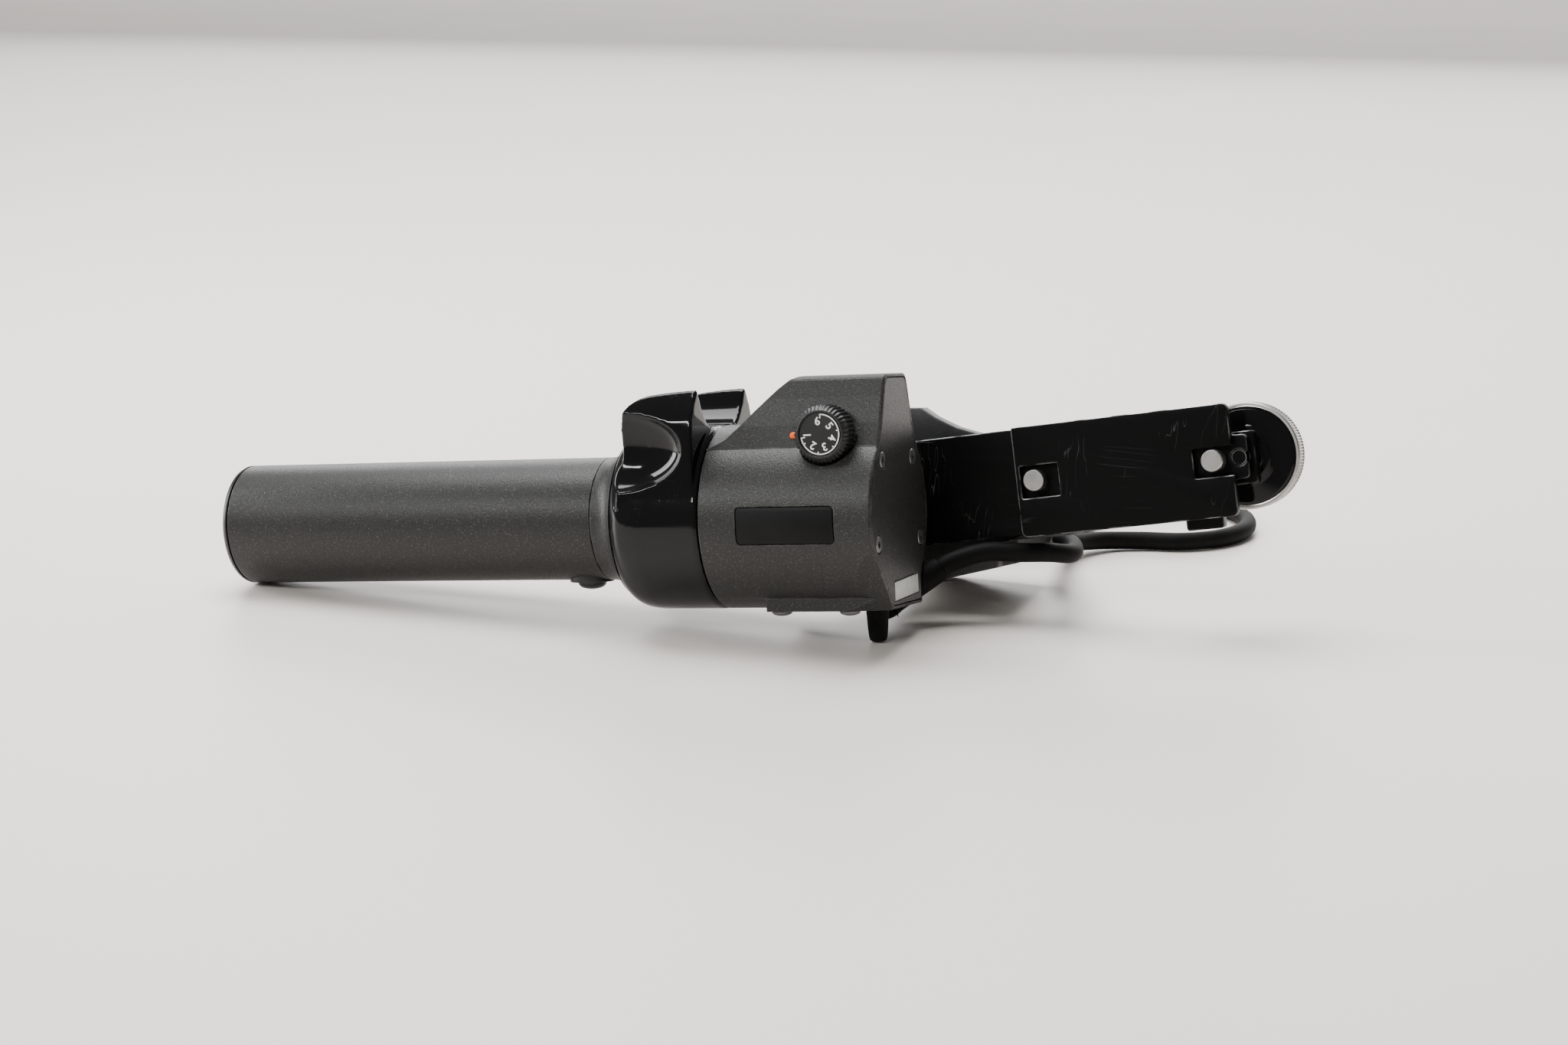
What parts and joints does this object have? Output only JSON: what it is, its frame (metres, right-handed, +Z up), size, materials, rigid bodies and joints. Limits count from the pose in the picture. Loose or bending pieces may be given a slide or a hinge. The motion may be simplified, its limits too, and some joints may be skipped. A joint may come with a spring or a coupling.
{
  "type": "zoom demand",
  "caption": "Hand grip with a sprung thumb ring, a housing with a speed dial, and an adjustable arm with a pan bar clamp.",
  "frame": {"origin": "middle of the underside of the bounding box, cable left out", "axes": "+X from the grip to the arm along the longest extent, +Y from the dial side to the clamp side, +Z up from the table"},
  "size_m": [0.335, 0.2272, 0.083],
  "materials": {
    "grip_paint": "dark grey textured paint",
    "housing_paint": "dark grey textured paint",
    "black_gloss": "polished black",
    "black_plastic": "satin black",
    "black_metal": "black anodised",
    "cast_metal": "dark painted casting",
    "steel": "machined",
    "dark_steel": "blackened",
    "bright_aluminium": "knurled, bright",
    "brass": "machined",
    "rubber": "matt black",
    "label_film": "silver grey film",
    "dial_print": "black with white ring and ticks",
    "orange_paint": "orange dot",
    "board_green": "green lacquer"
  },
  "bodies": {
    "frame": {"end_cap": "black_plastic", "grip_tube": "grip_paint", "grip_spacer_front": "black_plastic", "grip_spacer_rear": "black_plastic", "core_spindle": "steel", "grip_collar": "grip_paint", "button_switch": "black_plastic", "button_bezel": "black_plastic", "front_bush": "brass", "rear_bush": "brass", "zoom_potentiometer": "dark_steel", "bulkhead": "bright_aluminium", "return_spring": "steel", "housing_shell": "housing_paint", "name_plate": "black_gloss", "index_dot": "orange_paint", "rear_cover": "housing_paint", "cover_screw_1": "dark_steel", "cover_screw_2": "dark_steel", "cover_screw_3": "dark_steel", "cover_screw_4": "dark_steel", "cover_label": "label_film", "speed_potentiometer": "dark_steel", "circuit_board": "board_green", "block_screw_1": "dark_steel", "block_screw_2": "dark_steel", "rubber_foot": "rubber", "cable_gland": "rubber", "arm_mount_block": "cast_metal", "mount_screw_1": "dark_steel", "mount_screw_2": "dark_steel", "arm_base_plate": "black_metal", "slot_pin_1": "steel", "slot_pin_2": "steel", "arm_end_block": "black_metal", "clamp_body": "cast_metal", "clamp_screw_1": "dark_steel", "clamp_screw_2": "dark_steel", "clamp_hinge_pin": "steel", "cable": "rubber", "cable_coil": "rubber", "cable_tie": "black_plastic", "plug_boot": "rubber", "plug_body": "bright_aluminium", "plug_nut": "dark_steel"},
    "thumb_wheel": {"thumb_ring": "black_gloss", "ring_gear": "brass"},
    "pot_drive": {"pot_pinion": "brass", "pot_shaft": "steel"},
    "speed_dial": {"speed_knob": "black_plastic", "dial_face": "dial_print", "speed_shaft": "steel"},
    "push_button": {"grip_button": "black_plastic"},
    "front_plate": {"arm_slide_plate": "black_metal"},
    "arm_lock": {"lock_knob": "black_gloss", "knob_rim": "bright_aluminium", "knob_stud": "steel"},
    "bar_clamp": {"clamp_cap": "cast_metal", "clamp_bolt": "dark_steel"}
  },
  "joints": [
    {"name": "thumb_ring_turn", "type": "hinge", "parent": "frame", "child": "thumb_wheel", "pos_m": [-0.02791, -0.02845, 0.03186], "axis": [0.9954, 0, 0.0953], "range_deg": [-25, 25], "stiffness_Nm_per_rad": 0.17},
    {"name": "pinion_turn", "type": "hinge", "parent": "frame", "child": "pot_drive", "pos_m": [0.00714, -0.02522, 0.05402], "axis": [0.9954, 0, 0.0953], "range_deg": [-82, 82]},
    {"name": "speed_dial_turn", "type": "hinge", "parent": "frame", "child": "speed_dial", "pos_m": [0.03755, -0.04125, 0.06583], "axis": [-0.0162, -0.9855, 0.1691], "range_deg": [-140, 140]},
    {"name": "button_press", "type": "slide", "parent": "frame", "child": "push_button", "axis": [-0.0939, 0.1698, 0.981], "range_m": [0, 0.0009], "stiffness_N_per_m": 900, "springref_m": -0.0006},
    {"name": "plate_slide", "type": "slide", "parent": "frame", "child": "front_plate", "axis": [-0.9835, -0.0148, -0.1805], "range_m": [-0.0007, 0.0038]},
    {"name": "lock_knob_turn", "type": "hinge", "parent": "frame", "child": "arm_lock", "pos_m": [0.15095, 0.019, 0.05465], "axis": [-0.0162, -0.9855, 0.1691], "range_deg": [0, 720]},
    {"name": "clamp_swing", "type": "hinge", "parent": "frame", "child": "bar_clamp", "pos_m": [0.06073, 0.0527, 0.02833], "axis": [-0.9954, 0, -0.0953], "range_deg": [0, 110]}
  ],
  "couplings": [
    {"joint": "pinion_turn", "follows": "thumb_ring_turn", "ratio": -3.2}
  ]
}
